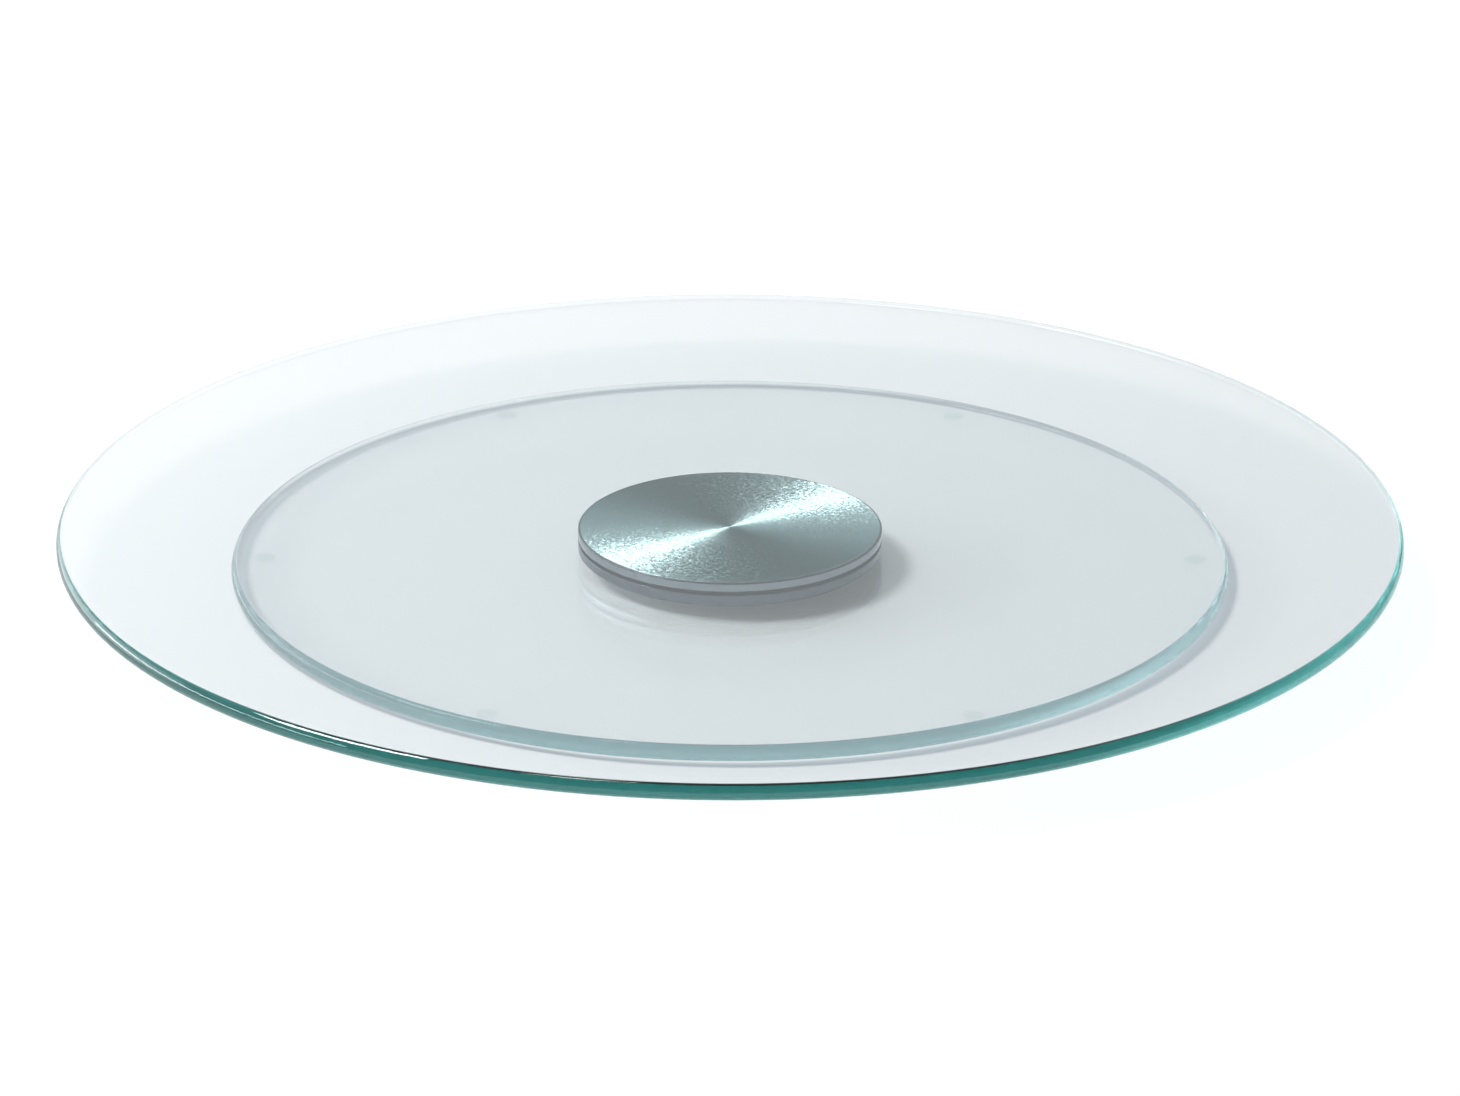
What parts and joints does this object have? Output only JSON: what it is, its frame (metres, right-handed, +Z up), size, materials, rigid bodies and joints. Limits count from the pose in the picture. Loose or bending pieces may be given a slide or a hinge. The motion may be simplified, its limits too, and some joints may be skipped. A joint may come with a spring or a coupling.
{
  "type": "glass turntable",
  "caption": "Round clear glass top that turns freely on a low brushed-aluminium bearing hub above a smaller round glass base, for serving food at a table.",
  "frame": {"origin": "on the turning axis, at the level of the surface that the turntable stands on", "axes": "+Z up along the turning axis; +X towards one of the base pads; the object is round, so X and Y are otherwise free"},
  "size_m": [0.65, 0.65, 0.031],
  "materials": {
    "top_glass": "clear float glass with a pale teal edge, polished",
    "base_glass": "clear float glass with a grey-teal edge, polished",
    "adhesive": "clear cured adhesive film",
    "spun_aluminium": "spun with fine concentric brushing, polished rim",
    "turned_aluminium": "fine turned, polished rim",
    "race_steel": "ground hardened steel",
    "ball_steel": "polished bearing steel",
    "screw_steel": "dark zinc plated steel",
    "spindle_steel": "turned steel",
    "spring_steel": "blued spring steel",
    "nylon": "natural nylon",
    "acetal": "natural acetal",
    "bronze": "oiled sintered bronze",
    "black_ring": "matt black nylon",
    "clear_pad": "clear silicone"
  },
  "bodies": {
    "base": {"base_glass": "base_glass", "base_pads": "clear_pad", "base_bond": "adhesive", "hub_base_plate": "turned_aluminium", "lower_race": "race_steel", "lower_race_screws": "screw_steel", "spindle_bush": "bronze", "dust_ring": "black_ring"},
    "turntable": {"top_glass": "top_glass", "top_bond": "adhesive", "hub_top_plate": "spun_aluminium", "upper_race": "race_steel", "upper_race_screws": "screw_steel", "spindle": "spindle_steel", "thrust_washer": "acetal", "disc_spring": "spring_steel", "retaining_washer": "spindle_steel", "retaining_screw": "screw_steel"},
    "ball_ring": {"bearing_balls": "ball_steel", "ball_cage": "nylon"}
  },
  "joints": [
    {"name": "turntable_spin", "type": "hinge", "parent": "base", "child": "turntable", "pos_m": [0, 0, 0.0164], "axis": [0, 0, 1], "continuous": true},
    {"name": "ball_ring_spin", "type": "hinge", "parent": "base", "child": "ball_ring", "pos_m": [0, 0, 0.0164], "axis": [0, 0, 1], "continuous": true}
  ],
  "couplings": [
    {"joint": "ball_ring_spin", "follows": "turntable_spin", "ratio": 0.5}
  ]
}
